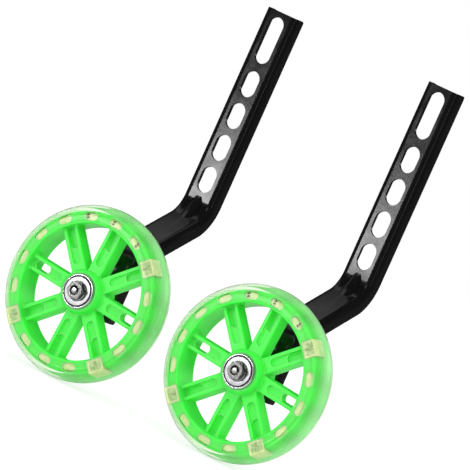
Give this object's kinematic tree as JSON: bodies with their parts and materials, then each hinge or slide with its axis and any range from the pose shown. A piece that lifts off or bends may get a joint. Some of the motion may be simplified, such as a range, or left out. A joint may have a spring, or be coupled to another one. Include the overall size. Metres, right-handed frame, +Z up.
{
  "type": "bicycle training wheels",
  "caption": "Pair of bicycle training wheels: cranked black channel arms with axle slots, each carrying a green spoked wheel with a clear tyre on shielded ball bearings.",
  "frame": {"origin": "on the ground midway between the two wheels and midway across their overall depth", "axes": "+X outboard along the wheel axles, +Y from the left unit to the right one, +Z up along the upper arms"},
  "size_m": [0.1072, 0.234, 0.259],
  "materials": {
    "black_arm": "gloss",
    "green_plastic": "gloss",
    "clear_tyre": "clear",
    "cream_plastic": "satin",
    "plated_steel": "satin",
    "bearing_steel": "polished"
  },
  "bodies": {
    "arms": {"axle_bolts": "plated_steel", "axle_nuts": "plated_steel", "left_arm": "black_arm", "left_spacer_washer": "plated_steel", "left_bearing_sleeve": "plated_steel", "left_outer_bearing_inner_ring": "bearing_steel", "left_inner_bearing_inner_ring": "bearing_steel", "right_arm": "black_arm", "right_spacer_washer": "plated_steel", "right_bearing_sleeve": "plated_steel", "right_outer_bearing_inner_ring": "bearing_steel", "right_inner_bearing_inner_ring": "bearing_steel"},
    "left_wheel": {"left_wheel_core": "green_plastic", "left_tyre": "clear_tyre", "left_outer_bearing_outer_ring": "bearing_steel", "left_inner_bearing_outer_ring": "bearing_steel", "left_light_module_1": "cream_plastic", "left_light_module_2": "cream_plastic", "left_light_module_3": "cream_plastic"},
    "right_wheel": {"right_wheel_core": "green_plastic", "right_tyre": "clear_tyre", "right_outer_bearing_outer_ring": "bearing_steel", "right_inner_bearing_outer_ring": "bearing_steel", "right_light_module_1": "cream_plastic", "right_light_module_2": "cream_plastic", "right_light_module_3": "cream_plastic"}
  },
  "joints": [
    {"name": "left_wheel_spin", "type": "hinge", "parent": "arms", "child": "left_wheel", "pos_m": [0.03575, -0.062, 0.055], "axis": [1, 0, 0], "continuous": true},
    {"name": "right_wheel_spin", "type": "hinge", "parent": "arms", "child": "right_wheel", "pos_m": [0.03575, 0.062, 0.055], "axis": [1, 0, 0], "continuous": true}
  ]
}
